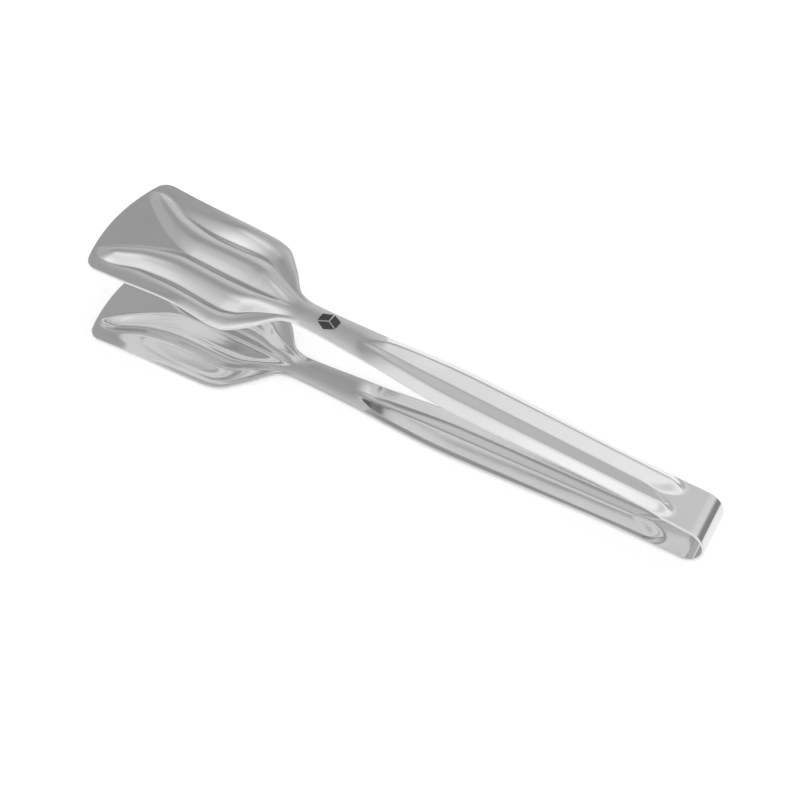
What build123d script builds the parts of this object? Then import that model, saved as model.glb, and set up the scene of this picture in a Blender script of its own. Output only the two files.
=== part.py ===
from build123d import *
import os
import numpy as np

# Ice tongs pressed from one strip of stainless steel sheet, bent double at a springy bow.
# The tongs lie on their lower arm: +Z is up, +X points at the bow, and the arms open to -X.
# Every "at" below is a distance along an arm from its tip, unless it says "from the bow".

# Overall sizes, in millimetres and degrees
tongs_length = 180.0
sheet = 0.8                 # thickness of the steel
bow_radius = 5.7            # outside of the bow
arm_spread = 5.4            # angle between the two arms when nobody squeezes them

# Outline of one arm: half widths of the blank
tip_half = 19.6
tip_bulge = 2.6             # how far the middle of the tip stands ahead of its corners
corner_radius = 4.2
waist_half, waist_at = 18.25, 30.0
shoulder_half, shoulder_at = 18.6, 40.0
turn_half, turn_at = 18.0, 44.0
sweep_half, sweep_at = 12.6, 50.0
throat_half, throat_at = 5.6, 56.0
neck_half, neck_at = 4.6, 60.0
neck_end_half, neck_end_at = 5.3, 76.0
grip_half, grip_from_bow = 7.7, 66.0
grip_end_half, grip_end_from_bow = 6.9, 22.0
bow_half = 7.4

# Pressing of the scoop
flute_height = 1.9          # crest of the two inner flutes, above the plain strip
flange_rise = 1.9           # the outer flange, above the plain strip, at the waist
tip_rise = 0.5              # the tip edge, above the plain strip
belly_dip = 0.3             # the creases under the belly, below the plain strip
flange_share = 0.65         # part of the outer band that climbs, before the flange is flat
flange_climb_at = 12.0      # where the flange starts to climb from the tip towards the waist
climb_rise = 0.8
shoulder_rise = 1.2         # the flange at the shoulder, on its way down to the neck
sweep_rise = 0.3
rim_fall = 0.35              # how far the flange curves back down at its edge
neck_crown = 0.7             # how far the middle of the neck stands above its edges
facet_half = 13.6           # half width of the flat facet at the tip
facet_length = 24.0
facet_curve = 1.6           # 1 would give the facet straight sides
flute_start, flute_full = 0.5, 7.0
flute_fade, flute_end = 43.0, 58.0

# Side crease of the scoop, between flute and flange: distances from the middle
crease_start_half = 13.9
crease_corner_half, crease_corner_at = 15.3, 4.5
crease_front_half, crease_front_at = 11.8, 16.0
crease_waist_half, crease_waist_at = 10.8, 26.0
crease_shoulder_half, crease_shoulder_at = 11.5, 40.0
crease_turn_half, crease_turn_at = 10.5, 44.0
crease_sweep_half, crease_sweep_at = 7.7, 48.0
crease_end_half = 3.3       # where the flutes run out

# Pressing of the handle
rib_height = 1.85           # crest of the two long ribs, above the plain strip
valley_height = 0.5         # bottom of the valley between the ribs
rib_half = 4.6              # from the middle to a crest
rib_end_half = 4.1          # the crests close up a little towards the bow
rib_start, rib_full = 74.3, 98.0
rib_start_half = 0.8        # the two ribs start side by side
rib_open_half, rib_open_at = 3.2, 87.0
rib_wide_at = 108.0
rib_growth = 2.5            # how quickly the ribs rise from their start; 1 is an even slope
rib_ease = 9.0              # length over which the neck turns up into the ribs
rib_end_from_bow = 4.8
rib_round = 5.5             # length over which a rib dies away at its end
rib_end_curve = 2.6         # how far a rib's crest runs on beyond its feet

# How finely the pressed surface is drawn
rows_per_arm = 60
rows_in_corner = 6
points_per_band = 8

arm_length = tongs_length - bow_radius
rest_height = max(rib_height, flange_rise)
bow_axis_x = tongs_length / 2 - bow_radius
bow_axis_z = rest_height + bow_radius
tip_x = bow_axis_x - arm_length


def ramp(value, start, end):
    """Smooth step: 0 up to start, 1 from end on, an S-shaped cubic between."""
    t = np.clip((value - start) / (end - start), 0.0, 1.0)
    return t * t * (3.0 - 2.0 * t)


def curve_through(stations, at):
    """Smooth curve through (place, value) stations: cubic spans that never overshoot them."""
    place, value = np.array(stations, dtype=float).T
    span = np.diff(place)
    rise = np.diff(value) / span
    product = rise[:-1] * rise[1:]
    total = np.where(product > 0, rise[:-1] + rise[1:], 1.0)
    middle = np.where(product > 0, 2.0 * product / total, 0.0)
    slope = np.concatenate([rise[:1], middle, rise[-1:]])
    at = np.clip(at, place[0], place[-1])
    i = np.clip(np.searchsorted(place, at) - 1, 0, len(span) - 1)
    t = (at - place[i]) / span[i]
    start = (1 + 2 * t) * (1 - t) ** 2 * value[i] + t * (1 - t) ** 2 * span[i] * slope[i]
    end = t * t * (3 - 2 * t) * value[i + 1] + t * t * (t - 1) * span[i] * slope[i + 1]
    return start + end


def half_width(at):
    """Half width of the blank, with its tip corners rounded by a quarter circle."""
    width = curve_through(
        [
            (0.0, tip_half),
            (waist_at, waist_half),
            (shoulder_at, shoulder_half),
            (turn_at, turn_half),
            (sweep_at, sweep_half),
            (throat_at, throat_half),
            (neck_at, neck_half),
            (neck_end_at, neck_end_half),
            (arm_length - grip_from_bow, grip_half),
            (arm_length - grip_end_from_bow, grip_end_half),
            (arm_length, bow_half),
        ],
        at,
    )
    missing = np.clip(corner_radius - at, 0.0, corner_radius)
    return width - corner_radius + np.sqrt(corner_radius ** 2 - missing ** 2)


def fold_line(at):
    """Distance from the middle to the fold: the scoop's side crease, then the rib's crest."""
    return curve_through(
        [
            (0.0, crease_start_half),
            (crease_corner_at, crease_corner_half),
            (crease_front_at, crease_front_half),
            (crease_waist_at, crease_waist_half),
            (crease_shoulder_at, crease_shoulder_half),
            (crease_turn_at, crease_turn_half),
            (crease_sweep_at, crease_sweep_half),
            (flute_end, crease_end_half),
            (rib_start, rib_start_half),
            (rib_open_at, rib_open_half),
            (rib_wide_at, rib_half),
            (arm_length, rib_end_half),
        ],
        at,
    )


def facet_edge(at):
    """Half width of the flat facet, which narrows from the tip to the centre crease."""
    left = np.clip(1.0 - at / facet_length, 0.0, 1.0)
    return facet_half * left ** facet_curve


def strip_level(at):
    """Level of the plain strip: raised at the tip, dipped a little under the belly."""
    belly_at = 0.5 * (waist_at + shoulder_at)
    return curve_through([(0.0, tip_rise), (belly_at, -belly_dip), (sweep_at, 0.0), (neck_at, 0.0)], at)


def flange_level(at):
    """Level of the scoop's outer flange along the arm."""
    return curve_through(
        [
            (0.0, tip_rise),
            (flange_climb_at, climb_rise),
            (waist_at, flange_rise),
            (shoulder_at, shoulder_rise),
            (sweep_at, sweep_rise),
            (neck_at, 0.0),
        ],
        at,
    )


def scoop_height(at, across):
    """Height of the scoop's outer face: facet, inner flute, crease, climb and flange."""
    crease, facet = fold_line(at), facet_edge(at)
    level = strip_level(at)
    in_flute = np.clip((across - facet) / (crease - facet), 0.0, 1.0)
    grown = ramp(at, flute_start, flute_full) * (1.0 - ramp(at, flute_fade, flute_end))
    flute = (flute_height - level) * grown * np.sin(np.pi * in_flute)
    outer = np.clip((across - crease) / (half_width(at) - crease), 0.0, 1.0)
    climb = np.sin(0.5 * np.pi * np.minimum(outer / flange_share, 1.0))
    fall = np.maximum((outer - flange_share) / (1.0 - flange_share), 0.0) ** 2
    falling = rim_fall * ramp(at, flange_climb_at, waist_at) * (1.0 - ramp(at, sweep_at, neck_at))
    return level + flute + (flange_level(at) - level) * climb - falling * fall


def handle_height(at, across):
    """Height of the handle's outer face: a valley between two ribs, falling to the edges."""
    rib_end_at = arm_length - rib_end_from_bow
    left = np.clip((rib_full - at) / (rib_full - rib_start), 0.0, 1.0)
    crest = fold_line(at)
    off_crest = (across - crest) / (half_width(at) - crest)
    beyond = at + rib_end_curve * off_crest ** 2
    rising = (1.0 - left ** rib_growth) * ramp(at, rib_start, rib_start + rib_ease)
    grown = rising * (1.0 - ramp(beyond, rib_end_at - rib_round, rib_end_at))
    inside = valley_height + (rib_height - valley_height) * across / crest
    outside = rib_height * (half_width(at) - across) / (half_width(at) - crest)
    return grown * np.minimum(inside, outside)


def crown_height(at, across):
    """Height of the neck's crown: an arch from edge to edge that fades into scoop and handle."""
    crowned = ramp(at, flute_fade, neck_at) * (1.0 - ramp(at, rib_start, rib_full))
    return neck_crown * crowned * (1.0 - (across / half_width(at)) ** 2)


def pressed_height(at, across):
    """Height of an arm's outer face above the plain strip, away from the other arm."""
    pressed = np.where(at < neck_at, scoop_height(at, across), handle_height(at, across))
    return pressed + crown_height(at, across)


def arm_points():
    """Rows of points on the lower arm's outer face, from tip to bow and side to side."""
    turn = np.linspace(0.0, 0.5 * np.pi, rows_in_corner, endpoint=False)
    corner_rows = corner_radius * (1.0 - np.cos(turn))
    at = np.concatenate([corner_rows, np.linspace(corner_radius, arm_length, rows_per_arm)])[:, None]
    share = np.linspace(0.0, 1.0, points_per_band)[None, :]
    fold, edge = fold_line(at), half_width(at)
    inner_band = fold * share
    outer_band = fold + (edge - fold) * share[:, 1:]
    half = np.concatenate([inner_band, outer_band], axis=1)
    y = np.concatenate([-half[:, :0:-1], half], axis=1)
    bulge = tip_bulge * (y / edge) ** 2 * (1.0 - ramp(at, 0.0, waist_at))
    x = tip_x + at + bulge
    z = rest_height - pressed_height(at, np.abs(y))
    return x, y, z


def band_edges(row):
    """One smooth edge for each of the four bands between the sheet's sides and its folds."""
    step = points_per_band - 1
    bands = [row[start:start + points_per_band] for start in range(0, len(row) - 1, step)]
    places = np.linspace(0.0, 1.0, points_per_band).tolist()
    return [Edge.make_spline(band, parameters=places) for band in bands]


def make_lower_arm():
    """One pressed arm: ruled between its sections, bow to tip, and closed at both ends."""
    outer_rows = [[Vector(*point) for point in zip(*row)] for row in zip(*arm_points())][::-1]
    inner_rows = [[point + Vector(0, 0, sheet) for point in row] for row in outer_rows]
    sections, end_faces = [], []
    for outer_row, inner_row in zip(outer_rows, inner_rows):
        outer, inner = band_edges(outer_row), band_edges(inner_row)
        sides = [Edge.make_line(outer_row[end], inner_row[end]) for end in (0, -1)]
        sections.append(Wire([*outer, sides[1], *reversed(inner), sides[0]]))
        if outer_row in (outer_rows[0], outer_rows[-1]):
            end_faces += [Face.make_surface_from_curves(*pair) for pair in zip(outer, inner)]
    return Solid(Shell([*Shell.make_loft(sections, ruled=True).faces(), *end_faces]))


def make_spring_bow():
    """The plain bend: a ring sector from under the bow axis round to the upper arm."""
    start = -90.0
    swing = 180.0 - arm_spread
    middle = start + swing / 2.0
    inner_radius = bow_radius - sheet

    def at_angle(radius, angle):
        return (radius * np.cos(np.radians(angle)), radius * np.sin(np.radians(angle)))

    outside = ThreePointArc(*[at_angle(bow_radius, angle) for angle in (start, middle, start + swing)])
    inside = ThreePointArc(*[at_angle(inner_radius, angle) for angle in (start, middle, start + swing)])
    ends = [Line(outside @ end, inside @ end) for end in (0, 1)]
    section = make_face([outside, inside, *ends])
    side_plane = Plane(origin=(bow_axis_x, 0, bow_axis_z), x_dir=(1, 0, 0), z_dir=(0, -1, 0))
    return extrude(side_plane * section, amount=bow_half, both=True)


def mirror_plane():
    """Plane through the bow axis, half way between the two arms."""
    half_angle = np.radians(arm_spread / 2.0)
    normal = (np.sin(half_angle), 0, np.cos(half_angle))
    return Plane(origin=(bow_axis_x, 0, bow_axis_z), x_dir=(0, 1, 0), z_dir=normal)


def main():
    lower_arm = make_lower_arm()
    nodes = {
        "lower_arm": lower_arm,
        "upper_arm": lower_arm.mirror(mirror_plane()),
        "spring_bow": make_spring_bow(),
    }
    os.makedirs("parts", exist_ok=True)
    for name, shape in nodes.items():
        export_step(shape, "parts/" + name + ".step")
        box = shape.bounding_box()
        print(name, "valid", shape.is_valid, "volume", round(shape.volume, 1), box.min, box.max)


main()
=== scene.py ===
import bpy
import numpy as np
from mathutils import Matrix, Vector


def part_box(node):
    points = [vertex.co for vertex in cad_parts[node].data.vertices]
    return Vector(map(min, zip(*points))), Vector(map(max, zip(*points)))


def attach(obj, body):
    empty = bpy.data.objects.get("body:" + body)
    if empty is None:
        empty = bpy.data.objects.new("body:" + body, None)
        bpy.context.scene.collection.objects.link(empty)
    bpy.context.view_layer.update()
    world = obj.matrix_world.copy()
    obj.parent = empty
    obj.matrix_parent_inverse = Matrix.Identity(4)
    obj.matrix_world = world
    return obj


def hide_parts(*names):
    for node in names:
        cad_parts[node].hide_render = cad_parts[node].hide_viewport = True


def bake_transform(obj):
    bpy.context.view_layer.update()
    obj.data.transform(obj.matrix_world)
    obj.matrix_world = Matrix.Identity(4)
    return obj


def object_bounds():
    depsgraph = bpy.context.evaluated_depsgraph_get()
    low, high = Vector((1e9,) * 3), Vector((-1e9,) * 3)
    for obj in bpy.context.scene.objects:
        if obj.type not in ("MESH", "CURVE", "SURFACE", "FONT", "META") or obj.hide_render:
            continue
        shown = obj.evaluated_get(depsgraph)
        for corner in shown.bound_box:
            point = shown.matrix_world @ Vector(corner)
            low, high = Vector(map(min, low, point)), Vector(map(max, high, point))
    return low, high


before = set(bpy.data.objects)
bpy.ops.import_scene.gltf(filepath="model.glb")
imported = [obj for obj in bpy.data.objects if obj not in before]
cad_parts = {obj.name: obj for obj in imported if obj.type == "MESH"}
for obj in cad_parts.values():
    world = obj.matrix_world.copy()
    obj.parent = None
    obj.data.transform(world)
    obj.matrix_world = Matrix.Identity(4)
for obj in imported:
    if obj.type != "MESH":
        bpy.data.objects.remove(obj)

# Ice tongs pressed from one strip of stainless steel. Everything is in metres, in the CAD's frame:
# the tongs lie on their lower arm, +X points at the bow, and the arms open towards -X.
# Every "at" is a distance along an arm from its tip, and "across" one from its centre line.
MM = 0.001
cad_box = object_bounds()
arm_box, bow_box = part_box("lower_arm"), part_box("spring_bow")

# Places that the CAD gives
tip_x = arm_box[0][0]
bow_axis_x = bow_box[0][0]
bow_radius = bow_box[1][0] - bow_axis_x
bow_half = bow_box[1][1]
rest_height = bow_box[0][2]
bow_axis_z = rest_height + bow_radius
arm_length = bow_axis_x - tip_x
arm_spread = np.radians(5.4)
sheet = 0.8 * MM

# Outline of one arm: half widths of the blank
tip_half = 19.6 * MM
tip_bulge = 2.6 * MM            # how far the middle of the tip stands ahead of its corners
corner_radius = 4.2 * MM
waist_half, waist_at = 18.25 * MM, 30.0 * MM
shoulder_half, shoulder_at = 18.6 * MM, 40.0 * MM
turn_half, turn_at = 18.0 * MM, 44.0 * MM
sweep_half, sweep_at = 12.6 * MM, 50.0 * MM
throat_half, throat_at = 5.6 * MM, 56.0 * MM
neck_half, neck_at = 4.6 * MM, 60.0 * MM
neck_end_half, neck_end_at = 5.3 * MM, 76.0 * MM
grip_half, grip_at = 7.7 * MM, arm_length - 66.0 * MM
grip_end_half, grip_end_at = 6.9 * MM, arm_length - 22.0 * MM

# Pressing of the scoop
flute_height = 1.9 * MM         # crest of the two inner flutes, above the plain strip
flange_rise = 1.9 * MM          # the outer flange, above the plain strip, at the waist
tip_rise = 0.5 * MM             # the tip edge, above the plain strip
belly_dip = 0.3 * MM            # the creases under the belly, below the plain strip
flange_share = 0.65             # part of the outer band that climbs, before the flange is flat
flange_climb_at = 12.0 * MM     # where the flange starts to climb from the tip towards the waist
climb_rise = 0.8 * MM
shoulder_rise = 1.2 * MM        # the flange at the shoulder, on its way down to the neck
sweep_rise = 0.3 * MM
rim_fall = 0.35 * MM            # how far the flange curves back down at its edge
neck_crown = 0.7 * MM           # how far the middle of the neck stands above its edges
facet_half = 13.6 * MM          # half width of the flat facet at the tip
facet_length = 24.0 * MM
facet_curve = 1.6               # 1 would give the facet straight sides
flute_start, flute_full = 0.5 * MM, 7.0 * MM
flute_fade, flute_end = 43.0 * MM, 58.0 * MM

# Side crease of the scoop, between flute and flange: distances from the middle
crease_start_half = 13.9 * MM
crease_corner_half, crease_corner_at = 15.3 * MM, 4.5 * MM
crease_front_half, crease_front_at = 11.8 * MM, 16.0 * MM
crease_waist_half, crease_waist_at = 10.8 * MM, 26.0 * MM
crease_shoulder_half, crease_shoulder_at = 11.5 * MM, 40.0 * MM
crease_turn_half, crease_turn_at = 10.5 * MM, 44.0 * MM
crease_sweep_half, crease_sweep_at = 7.7 * MM, 48.0 * MM
crease_end_half = 3.3 * MM      # where the flutes run out

# Pressing of the handle
rib_height = 1.85 * MM          # crest of the two long ribs, above the plain strip
valley_height = 0.5 * MM        # bottom of the valley between the ribs
rib_half = 4.6 * MM             # from the middle to a crest
rib_end_half = 4.1 * MM         # the crests close up a little towards the bow
rib_start, rib_full = 74.3 * MM, 98.0 * MM
rib_start_half = 0.8 * MM       # the two ribs start side by side
rib_open_half, rib_open_at = 3.2 * MM, 87.0 * MM
rib_wide_at = 108.0 * MM
rib_growth = 2.5                # how quickly the ribs rise from their start; 1 is an even slope
rib_ease = 9.0 * MM             # length over which the neck turns up into the ribs
rib_end_at = arm_length - 4.8 * MM
rib_round = 5.5 * MM            # length over which a rib dies away at its end
rib_end_curve = 2.6 * MM        # how far a rib's crest runs on beyond its feet

# How the press and the tumbling barrel soften the steel
crease_reach = 0.4 * MM         # half the width over which a crease of the scoop is rounded
rib_reach = 0.8 * MM            # the same for the handle's ribs and valley
rim_depth = 0.3 * MM            # how far the cut edge is rounded over
skin_inset = 0.015 * MM         # how far the faces drawn here lie inside the CAD's
cap_angle = np.radians(60.0)    # folds sharper than this, only found round the flat caps, stay sharp

# How finely the steel is drawn
rows_in_corner, rows_per_arm = 24, 330
rows_round_bow = 121
facet_columns, band_columns = 11, 23
facet_share = 0.2               # least width of the inner band, as a share of the way to the fold
edge_points = 7                 # points round the cut edge, between the two faces
fold_samples = 11               # samples that the rounding of a fold is averaged over

# The mark etched into the neck: an ice cube seen corner on
mark_x, mark_y = -23.6 * MM, 0.7 * MM
mark_size = 3.4 * MM            # from its middle to each corner of its hexagon
mark_line = 0.06                # half a bright line between two of its faces, as a share of its size
mark_film = 0.02 * MM
mark_columns = 9                # points along each side of a face
mark_start, mark_turn = np.radians(90.0), np.radians(120.0)


def ramp(value, start, end):
    """Smooth step: 0 up to start, 1 from end on, and 3t^2 - 2t^3 between, t being the share passed."""
    t = np.clip((value - start) / (end - start), 0.0, 1.0)
    return t * t * (3.0 - 2.0 * t)


def curve_through(stations, at):
    """Cubic spans through (place, value) stations; each station's slope is the harmonic mean of the
    slopes on its two sides, or level at a turning point, so the curve never overshoots."""
    place, value = np.array(stations, dtype=float).T
    span = np.diff(place)
    rise = np.diff(value) / span
    product = rise[:-1] * rise[1:]
    total = np.where(product > 0, rise[:-1] + rise[1:], 1.0)
    middle = np.where(product > 0, 2.0 * product / total, 0.0)
    slope = np.concatenate([rise[:1], middle, rise[-1:]])
    at = np.clip(at, place[0], place[-1])
    i = np.clip(np.searchsorted(place, at) - 1, 0, len(span) - 1)
    t = (at - place[i]) / span[i]
    start = (1 + 2 * t) * (1 - t) ** 2 * value[i] + t * (1 - t) ** 2 * span[i] * slope[i]
    end = t * t * (3 - 2 * t) * value[i + 1] + t * t * (t - 1) * span[i] * slope[i + 1]
    return start + end


def half_width(at):
    """Half width of the blank: a smooth curve through its stations, less a quarter circle at the tip."""
    width = curve_through(
        [
            (0.0, tip_half),
            (waist_at, waist_half),
            (shoulder_at, shoulder_half),
            (turn_at, turn_half),
            (sweep_at, sweep_half),
            (throat_at, throat_half),
            (neck_at, neck_half),
            (neck_end_at, neck_end_half),
            (grip_at, grip_half),
            (grip_end_at, grip_end_half),
            (arm_length, bow_half),
        ],
        at,
    )
    missing = np.clip(corner_radius - at, 0.0, corner_radius)
    return width - corner_radius + np.sqrt(corner_radius ** 2 - missing ** 2)


def fold_line(at):
    """Distance from the middle to the fold, a smooth curve: the scoop's side crease, which closes to
    the neck, then the rib's crest, which opens from the rib's start."""
    return curve_through(
        [
            (0.0, crease_start_half),
            (crease_corner_at, crease_corner_half),
            (crease_front_at, crease_front_half),
            (crease_waist_at, crease_waist_half),
            (crease_shoulder_at, crease_shoulder_half),
            (crease_turn_at, crease_turn_half),
            (crease_sweep_at, crease_sweep_half),
            (flute_end, crease_end_half),
            (rib_start, rib_start_half),
            (rib_open_at, rib_open_half),
            (rib_wide_at, rib_half),
            (arm_length, rib_end_half),
        ],
        at,
    )


def facet_edge(at):
    """Half width of the flat facet: a power of the distance left to the facet's inner end."""
    left = np.clip(1.0 - at / facet_length, 0.0, 1.0)
    return facet_half * left ** facet_curve


def strip_level(at):
    """Level of the plain strip, a smooth curve: raised at the tip, dipped a little under the belly."""
    belly_at = 0.5 * (waist_at + shoulder_at)
    return curve_through([(0.0, tip_rise), (belly_at, -belly_dip), (sweep_at, 0.0), (neck_at, 0.0)], at)


def flange_level(at):
    """Level of the scoop's outer flange, a smooth curve along the arm."""
    return curve_through(
        [
            (0.0, tip_rise),
            (flange_climb_at, climb_rise),
            (waist_at, flange_rise),
            (shoulder_at, shoulder_rise),
            (sweep_at, sweep_rise),
            (neck_at, 0.0),
        ],
        at,
    )


def scoop_height(at, across):
    """Half a sine wave from the facet to the crease makes the flute; a quarter sine wave from the
    crease outwards climbs to the flange, whose outer part falls by a square."""
    crease, facet = fold_line(at), facet_edge(at)
    level = strip_level(at)
    in_flute = np.clip((across - facet) / (crease - facet), 0.0, 1.0)
    grown = ramp(at, flute_start, flute_full) * (1.0 - ramp(at, flute_fade, flute_end))
    flute = (flute_height - level) * grown * np.sin(np.pi * in_flute)
    outer = np.clip((across - crease) / (half_width(at) - crease), 0.0, 1.0)
    climb = np.sin(0.5 * np.pi * np.minimum(outer / flange_share, 1.0))
    fall = np.maximum((outer - flange_share) / (1.0 - flange_share), 0.0) ** 2
    falling = rim_fall * ramp(at, flange_climb_at, waist_at) * (1.0 - ramp(at, sweep_at, neck_at))
    return level + flute + (flange_level(at) - level) * climb - falling * fall


def handle_height(at, across):
    """The lower of two straight flanks: one rising from the valley to the rib's crest, one falling
    from the crest to the edge. Both grow from the ribs' start by 1 less a power of the share of the
    way still to go, times a smooth step, and die away by a smooth step at the ribs' end, the earlier
    the further a point lies from the crest."""
    left = np.clip((rib_full - at) / (rib_full - rib_start), 0.0, 1.0)
    crest = fold_line(at)
    off_crest = (across - crest) / (half_width(at) - crest)
    beyond = at + rib_end_curve * off_crest ** 2
    rising = (1.0 - left ** rib_growth) * ramp(at, rib_start, rib_start + rib_ease)
    grown = rising * (1.0 - ramp(beyond, rib_end_at - rib_round, rib_end_at))
    inside = valley_height + (rib_height - valley_height) * across / crest
    outside = rib_height * (half_width(at) - across) / (half_width(at) - crest)
    return grown * np.minimum(inside, outside)


def crown_height(at, across):
    """The neck's crown, a parabola from edge to edge that fades by smooth steps into the scoop's
    flutes and the handle's ribs."""
    crowned = ramp(at, flute_fade, neck_at) * (1.0 - ramp(at, rib_start, rib_full))
    return neck_crown * crowned * (1.0 - (across / half_width(at)) ** 2)


def pressed_height(at, y):
    """Height of the outer face above the plain strip, averaged over a short run across the strip
    with bell-shaped weights, which rounds every fold."""
    steps = np.linspace(-1.0, 1.0, fold_samples + 2)[1:-1]
    weights = np.cos(0.5 * np.pi * steps) ** 2
    reach = crease_reach + (rib_reach - crease_reach) * ramp(at, neck_at, rib_start)
    total = 0.0
    for step, weight in zip(steps, weights / weights.sum()):
        across = np.abs(y + step * reach)
        pressed = np.where(at < neck_at, scoop_height(at, across), handle_height(at, across))
        total = total + weight * (pressed + crown_height(at, across))
    return total


def eased(count):
    """count shares from 0 to 1 that lie close together at both ends: half of 1 minus a cosine."""
    return 0.5 - 0.5 * np.cos(np.linspace(0.0, np.pi, count))


def strip_columns(at):
    """Distances across the strip for each row: three bands a side, from the centre line to the
    facet's edge, the fold and the cut edge, with their columns closest together at the folds."""
    fold, edge = fold_line(at), half_width(at) - rim_depth - skin_inset
    facet = np.maximum(facet_edge(at), facet_share * fold)
    half = np.concatenate(
        [
            facet * eased(facet_columns),
            facet + (fold - facet) * eased(band_columns)[1:],
            fold + (edge - fold) * eased(band_columns)[1:],
        ],
        axis=1,
    )
    return np.concatenate([-half[:, :0:-1], half], axis=1)


def arm_face():
    """Outer face of the lower arm, rows from tip to bow and columns from -Y to +Y. The tip's middle
    is pushed ahead of its corners by a parabola that fades out at the waist."""
    turn = np.linspace(0.0, 0.5 * np.pi, rows_in_corner, endpoint=False)
    first = rim_depth + skin_inset
    corner_rows = first + (corner_radius - first) * (1.0 - np.cos(turn))
    long_rows = np.linspace(corner_radius, arm_length, rows_per_arm)
    at = np.concatenate([corner_rows, long_rows])[:, None]
    y = strip_columns(at)
    bulge = tip_bulge * (y / half_width(at)) ** 2 * (1.0 - ramp(at, 0.0, waist_at))
    x = tip_x + at + bulge
    z = rest_height + skin_inset - pressed_height(at, y)
    return np.stack([x, y, z], axis=-1)


def bow_face():
    """Outer face of the bow: the arm's last row carried round a circle from straight down to the
    upper arm's end."""
    y = strip_columns(np.array([[arm_length]]))
    angle = (-0.5 * np.pi + (np.pi - arm_spread) * eased(rows_round_bow))[:, None]
    x = bow_axis_x + (bow_radius - skin_inset) * np.cos(angle) + 0.0 * y
    z = bow_axis_z + (bow_radius - skin_inset) * np.sin(angle) + 0.0 * y
    return np.stack([x, y + 0.0 * x, z], axis=-1)


def unit(vectors):
    """Each vector divided by its length."""
    return vectors / np.linalg.norm(vectors, axis=-1, keepdims=True)


def close_sheet(face, tip_closed):
    """A sheet of even thickness behind an outer face. Its inner face lies one sheet thickness along
    each point's normal, and its cut edge is half an ellipse, rim_depth deep, round the boundary."""
    rows, columns, _ = face.shape
    normal = unit(np.cross(np.gradient(face, axis=1), np.gradient(face, axis=0)))
    number = np.arange(rows * columns).reshape(rows, columns)
    points = [face.reshape(-1, 3), (face - sheet * normal).reshape(-1, 3)]
    corners = np.stack([number[:-1, :-1], number[:-1, 1:], number[1:, 1:], number[1:, :-1]], axis=-1)
    quads = [corners.reshape(-1, 4), corners.reshape(-1, 4)[:, ::-1] + rows * columns]
    chains = [number[::-1, 0], number[:, -1]]
    if tip_closed:
        chains = [np.concatenate([number[::-1, 0], number[0, 1:-1], number[:, -1]])]
    turn = np.linspace(0.0, np.pi, edge_points + 2)[1:-1, None, None]
    rims = []
    start = 2 * rows * columns
    for chain in chains:
        edge, facing = face.reshape(-1, 3)[chain], normal.reshape(-1, 3)[chain]
        outward = unit(np.cross(np.gradient(edge, axis=0), facing))
        middle = edge - 0.5 * sheet * facing
        between = middle + 0.5 * sheet * np.cos(turn) * facing + rim_depth * np.sin(turn) * outward
        added = start + np.arange(between.shape[0] * len(chain)).reshape(-1, len(chain))
        rim = np.concatenate([chain[None, :], added, chain[None, :] + rows * columns])
        around = np.stack([rim[:-1, :-1], rim[1:, :-1], rim[1:, 1:], rim[:-1, 1:]], axis=-1)
        points.append(between.reshape(-1, 3))
        quads.append(around.reshape(-1, 4))
        rims.append(rim)
        start += added.size
    inner = number + rows * columns
    last = [number[-1, :], rims[-1][1:-1, -1], inner[-1, ::-1], rims[0][-2:0:-1, 0]]
    caps = [np.concatenate(last)]
    if not tip_closed:
        first = [number[0, ::-1], rims[0][1:-1, -1], inner[0, :], rims[1][-2:0:-1, 0]]
        caps.append(np.concatenate(first))
    return np.concatenate(points), np.concatenate(quads), caps


def mirrored(points):
    """The points reflected in the plane through the bow's axis that lies half way between the arms."""
    across = np.array([np.sin(0.5 * arm_spread), 0.0, np.cos(0.5 * arm_spread)])
    apart = (points - np.array([bow_axis_x, 0.0, bow_axis_z])) @ across
    return points - 2.0 * apart[:, None] * across


def add_mesh(name, points, faces, caps, material, sides=0):
    """A mesh object at the origin, smooth but for its flat caps. The attribute cut_edge is 0 on its
    first points, which are its sides, and 1 on the rest, which are its cut edge."""
    mesh = bpy.data.meshes.new(name)
    mesh.from_pydata(points.tolist(), [], faces.tolist() + [cap.tolist() for cap in caps])
    smooth = np.ones(len(faces) + len(caps), dtype=bool)
    smooth[len(faces):] = False
    mesh.polygons.foreach_set("use_smooth", smooth)
    mesh.materials.append(material)
    cut_edge = np.arange(len(points)) >= sides
    edge_values = mesh.attributes.new("cut_edge", "FLOAT", "POINT")
    edge_values.data.foreach_set("value", cut_edge.astype(np.float32))
    mesh.update()
    mesh.set_sharp_from_angle(angle=cap_angle)
    piece = bpy.data.objects.new(name, mesh)
    bpy.context.scene.collection.objects.link(piece)
    return piece


def linear(code):
    """An sRGB hex colour turned linear by the sRGB curve, with an alpha of 1."""
    share = np.array([int(code[i:i + 2], 16) for i in (0, 2, 4)]) / 255.0
    low, high = share / 12.92, ((share + 0.055) / 1.055) ** 2.4
    return (*np.where(share <= 0.04045, low, high).tolist(), 1.0)


def add_node(tree, kind, inputs=None, **settings):
    """Adds a node: settings are its properties, inputs are its sockets' values or what feeds them."""
    node = tree.nodes.new(kind)
    for name, value in settings.items():
        setattr(node, name, value)
    for name, value in (inputs or {}).items():
        if isinstance(value, bpy.types.NodeSocket):
            tree.links.new(value, node.inputs[name])
        else:
            node.inputs[name].default_value = value
    return node


# A Mix node's colour sockets share their names with its other sockets, so they go by number.
COLOR_A, COLOR_B, MIXED_COLOR = 6, 7, 2

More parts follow.
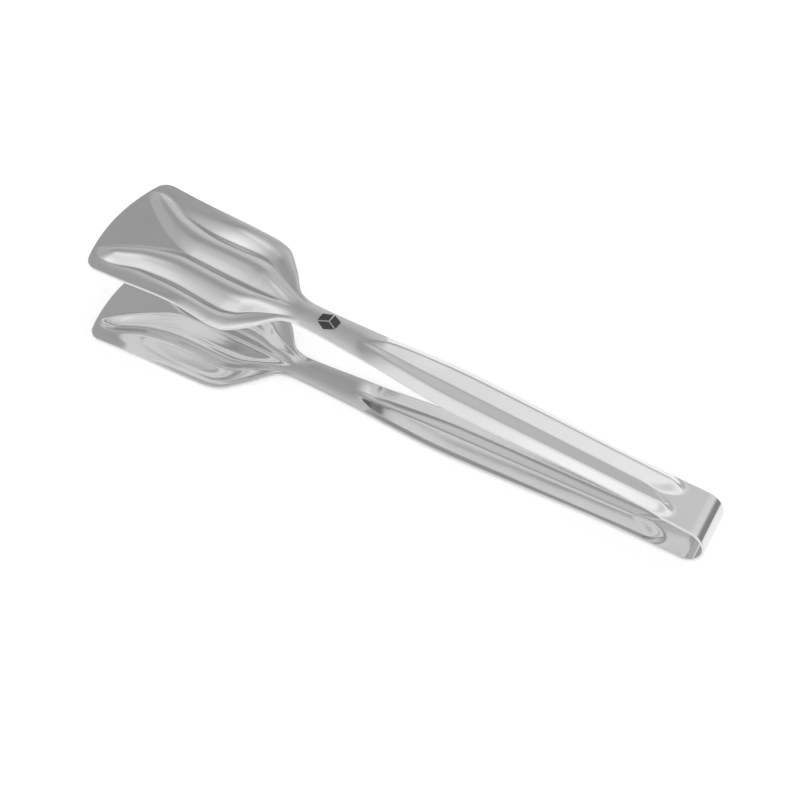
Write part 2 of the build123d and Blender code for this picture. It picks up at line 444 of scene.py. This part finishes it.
# Finish of the steel
rolling_width = 0.5 * MM        # spacing of the faint rolling lines
rolling_stretch = 0.03          # their noise runs this much slower along X, which draws out lines
line_low, line_high = 0.35, 0.65
polished, lined = 0.09, 0.13    # roughness between the rolling lines, and on them
haze_size = 9.0 * MM            # size of the cloudy patches left by the barrel
haze_dulling = 0.05             # roughness that full haze adds
edge_dulling = 0.12             # roughness that a cut edge adds
wave_size = 7.0 * MM            # size of the waves left by the press
wave_depth, line_depth = 0.02 * MM, 0.0004 * MM
line_detail, haze_detail, wave_detail = 4.0, 3.0, 1.0
steel_dark, steel_light = "e0e0e0", "e6e6e6"

# Finish of the etched mark
oxide_grain, oxide_detail = 0.15 * MM, 2.0
oxide_dark, oxide_light = "3a3a3a", "5a5a5a"
oxide_metal, oxide_roughness = 0.6, 0.45

# Finish of the floor
paper_white, white = "f6f6f6", "ffffff"
paper_roughness, paper_gloss = 0.9, 0.1
floor_glow = 0.39
floor_reach = 3.0               # from the middle to each side


def new_material(name):
    """An empty node material and its node tree."""
    material = bpy.data.materials.new(name)
    material.use_nodes = True
    material.node_tree.nodes.clear()
    return material, material.node_tree


def tumbled_stainless_steel():
    """18/10 stainless steel, cold rolled, pressed and then polished in a tumbling barrel. Reflections
    are bright and a little hazy; faint rolling lines run along the strip, the press leaves a gentle
    waviness, and the cut edges stay duller than the sides."""
    steel, tree = new_material("tumbled_stainless_steel")
    place = add_node(tree, "ShaderNodeTexCoord").outputs["Object"]
    along = add_node(
        tree, "ShaderNodeMapping", {"Vector": place, "Scale": (rolling_stretch, 1.0, 1.0)}
    ).outputs["Vector"]
    lines = add_node(
        tree, "ShaderNodeTexNoise", {"Vector": along, "Scale": 1.0 / rolling_width, "Detail": line_detail}
    ).outputs["Fac"]
    haze = add_node(
        tree, "ShaderNodeTexNoise", {"Vector": place, "Scale": 1.0 / haze_size, "Detail": haze_detail}
    ).outputs["Fac"]
    edge = add_node(tree, "ShaderNodeAttribute", attribute_name="cut_edge").outputs["Fac"]
    rolled = add_node(
        tree, "ShaderNodeMapRange",
        {
            "Value": lines, "From Min": line_low, "From Max": line_high,
            "To Min": polished, "To Max": lined,
        },
    ).outputs["Result"]
    hazed = add_node(
        tree, "ShaderNodeMath", {0: haze, 1: haze_dulling, 2: rolled}, operation="MULTIPLY_ADD"
    ).outputs["Value"]
    rough = add_node(
        tree, "ShaderNodeMath", {0: edge, 1: edge_dulling, 2: hazed}, operation="MULTIPLY_ADD"
    ).outputs["Value"]
    wavy = add_node(
        tree, "ShaderNodeTexNoise", {"Vector": place, "Scale": 1.0 / wave_size, "Detail": wave_detail}
    ).outputs["Fac"]
    waves = add_node(
        tree, "ShaderNodeBump", {"Height": wavy, "Distance": wave_depth, "Strength": 1.0}
    ).outputs["Normal"]
    facing = add_node(
        tree, "ShaderNodeBump",
        {"Height": lines, "Distance": line_depth, "Strength": 1.0, "Normal": waves},
    ).outputs["Normal"]
    tone = add_node(
        tree, "ShaderNodeMix",
        {"Factor": haze, COLOR_A: linear(steel_dark), COLOR_B: linear(steel_light)}, data_type="RGBA",
    ).outputs[MIXED_COLOR]
    metal = add_node(
        tree, "ShaderNodeBsdfPrincipled",
        {"Base Color": tone, "Metallic": 1.0, "Roughness": rough, "Normal": facing},
    )
    add_node(tree, "ShaderNodeOutputMaterial", {"Surface": metal.outputs["BSDF"]})
    return steel


def plain_floor():
    """White paper, lit from below a little as on a light table, so that its shadows stay faint."""
    paper, tree = new_material("white_paper_on_light_table")
    matt = add_node(
        tree, "ShaderNodeBsdfPrincipled",
        {
            "Base Color": linear(paper_white), "Roughness": paper_roughness,
            "Specular IOR Level": paper_gloss,
            "Emission Color": linear(white), "Emission Strength": floor_glow,
        },
    )
    add_node(tree, "ShaderNodeOutputMaterial", {"Surface": matt.outputs["BSDF"]})
    return paper


def etched_steel():
    """Stainless steel darkened by a laser: a thin, dull, dark grey oxide."""
    oxide, tree = new_material("laser_etched_steel")
    place = add_node(tree, "ShaderNodeTexCoord").outputs["Object"]
    grain = add_node(
        tree, "ShaderNodeTexNoise", {"Vector": place, "Scale": 1.0 / oxide_grain, "Detail": oxide_detail}
    ).outputs["Fac"]
    shade = add_node(
        tree, "ShaderNodeMix",
        {"Factor": grain, COLOR_A: linear(oxide_dark), COLOR_B: linear(oxide_light)}, data_type="RGBA",
    ).outputs[MIXED_COLOR]
    dull = add_node(
        tree, "ShaderNodeBsdfPrincipled",
        {"Base Color": shade, "Metallic": oxide_metal, "Roughness": oxide_roughness},
    )
    add_node(tree, "ShaderNodeOutputMaterial", {"Surface": dull.outputs["BSDF"]})
    return oxide


def add_mark():
    """Three rhombs of a hexagon, one for each face of the cube, laid on the upper neck's outer face.
    A rhomb's points are its two sides' directions times shares from one bright line to the next."""
    share = np.linspace(mark_line, 1.0 - mark_line, mark_columns)
    number = np.arange(mark_columns ** 2).reshape(mark_columns, mark_columns)
    corners = np.stack([number[:-1, :-1], number[:-1, 1:], number[1:, 1:], number[1:, :-1]], axis=-1)
    points, faces = [], []
    for turn in mark_start + mark_turn * np.arange(3):
        one = mark_size * np.array([np.cos(turn), np.sin(turn)])
        other = mark_size * np.array([np.cos(turn + mark_turn), np.sin(turn + mark_turn)])
        flat = share[:, None, None] * one + share[None, :, None] * other
        x, y = (flat + np.array([mark_x, mark_y])).reshape(-1, 2).T
        z = rest_height + skin_inset - pressed_height(x - tip_x, y)
        faces.append(corners.reshape(-1, 4) + sum(len(p) for p in points))
        points.append(np.stack([x, y, z], axis=-1))
    mark = add_mesh(
        "etched_mark", mirrored(np.concatenate(points)), np.concatenate(faces), [], etched_steel()
    )
    film = mark.modifiers.new("film", "SOLIDIFY")
    film.thickness = mark_film
    film.offset = 0.0
    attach(mark, "upper_arm")


def build_tongs():
    """The two arms and the bow, each in the CAD part's place."""
    steel = tumbled_stainless_steel()
    face, bend = arm_face(), bow_face()
    sides, bend_sides = 2 * face[..., 0].size, 2 * bend[..., 0].size
    points, faces, caps = close_sheet(face, True)
    turned = [cap[::-1] for cap in caps]
    lower = add_mesh("lower_arm_steel", points, faces, caps, steel, sides)
    upper = add_mesh("upper_arm_steel", mirrored(points), faces[:, ::-1], turned, steel, sides)
    bow = add_mesh("spring_bow_steel", *close_sheet(bend, False), steel, bend_sides)
    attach(lower, "lower_arm")
    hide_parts("lower_arm")
    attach(upper, "upper_arm")
    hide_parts("upper_arm")
    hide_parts("spring_bow")
    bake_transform(bow)
    add_mark()


# The studio is a white light tent. Its panels are soft patches of more light, or of less where the
# strength is negative. Each gives its middle's azimuth, from +X towards +Y, and elevation, then the
# angles from its middle where it starts and where it is full, all in degrees, and its strength.
tent_light = 0.317
tent_panels = [
    (-41, 57, 60, 30, 0.46),    # main light, high on the near right
    (-94, 15, 57, 39, 0.31),    # near wall
    (58, 3, 68, 38, 0.26),      # far wall, on the bow's side
    (32, 8, 31, 14, -0.30),     # grey card, which the bow shows as its dark band
    (170, 5, 78, 58, 0.19),     # wall beyond the tips
    (48, 60, 38, 26, 0.23),     # second light, high on the far right
    (121, 49, 26, 8, -0.08),    # grey card, which the flat facets and necks show
    (79, 75, 22, 8, 0.08),      # two small fills and a card overhead
    (-87, 65, 23, 8, 0.15),
    (159, 74, 26, 8, -0.05),
]


def light_tent():
    """The surround: an even glow plus one smooth step of the cosine to each panel's middle."""
    world = bpy.data.worlds.new("light_tent")
    world.use_nodes = True
    tree = world.node_tree
    tree.nodes.clear()
    ray = add_node(tree, "ShaderNodeTexCoord").outputs["Generated"]
    total = tent_light
    for azimuth, elevation, start, full, strength in tent_panels:
        turn, rise = np.radians([azimuth, elevation])
        middle = (np.cos(turn) * np.cos(rise), np.sin(turn) * np.cos(rise), np.sin(rise))
        cosine = add_node(
            tree, "ShaderNodeVectorMath", {0: ray, 1: middle}, operation="DOT_PRODUCT"
        ).outputs["Value"]
        start_cosine, full_cosine = np.cos(np.radians([start, full]))
        panel = add_node(
            tree, "ShaderNodeMapRange",
            {
                "Value": cosine, "From Min": start_cosine, "From Max": full_cosine,
                "To Min": 0.0, "To Max": strength,
            },
            interpolation_type="SMOOTHSTEP",
        ).outputs["Result"]
        total = add_node(tree, "ShaderNodeMath", {0: panel, 1: total}, operation="ADD").outputs["Value"]
    glow = add_node(tree, "ShaderNodeBackground", {"Color": linear(white), "Strength": total})
    add_node(tree, "ShaderNodeOutputWorld", {"Surface": glow.outputs["Background"]})
    bpy.context.scene.world = world


def build_studio():
    """A white floor in a light tent."""
    mesh = bpy.data.meshes.new("floor")
    corners = floor_reach * np.array([(-1, -1), (1, -1), (1, 1), (-1, 1)])
    mesh.from_pydata([(x, y, cad_box[0][2]) for x, y in corners], [], [(0, 1, 2, 3)])
    mesh.materials.append(plain_floor())
    floor = bpy.data.objects.new("floor", mesh)
    bpy.context.scene.collection.objects.link(floor)
    light_tent()


def build_camera():
    """A short telephoto lens that looks down on the tongs from the bow end's near side."""
    place = Vector((116.92, -268.83, 334.91)) * MM
    view = Vector((-0.2651, 0.6110, -0.7460)).normalized()
    right = Vector((0.8842, 0.4626, 0.0647))
    up = right.cross(view).normalized()
    right = view.cross(up).normalized()
    lens = bpy.data.cameras.new("camera")
    lens.sensor_width = 36.0
    lens.lens = 73.97
    camera = bpy.data.objects.new("camera", lens)
    camera.matrix_world = Matrix.Translation(place) @ Matrix((right, up, -view)).transposed().to_4x4()
    bpy.context.scene.collection.objects.link(camera)
    bpy.context.scene.camera = camera


bpy.context.scene.view_settings.view_transform = "Standard"
build_tongs()
build_studio()
build_camera()
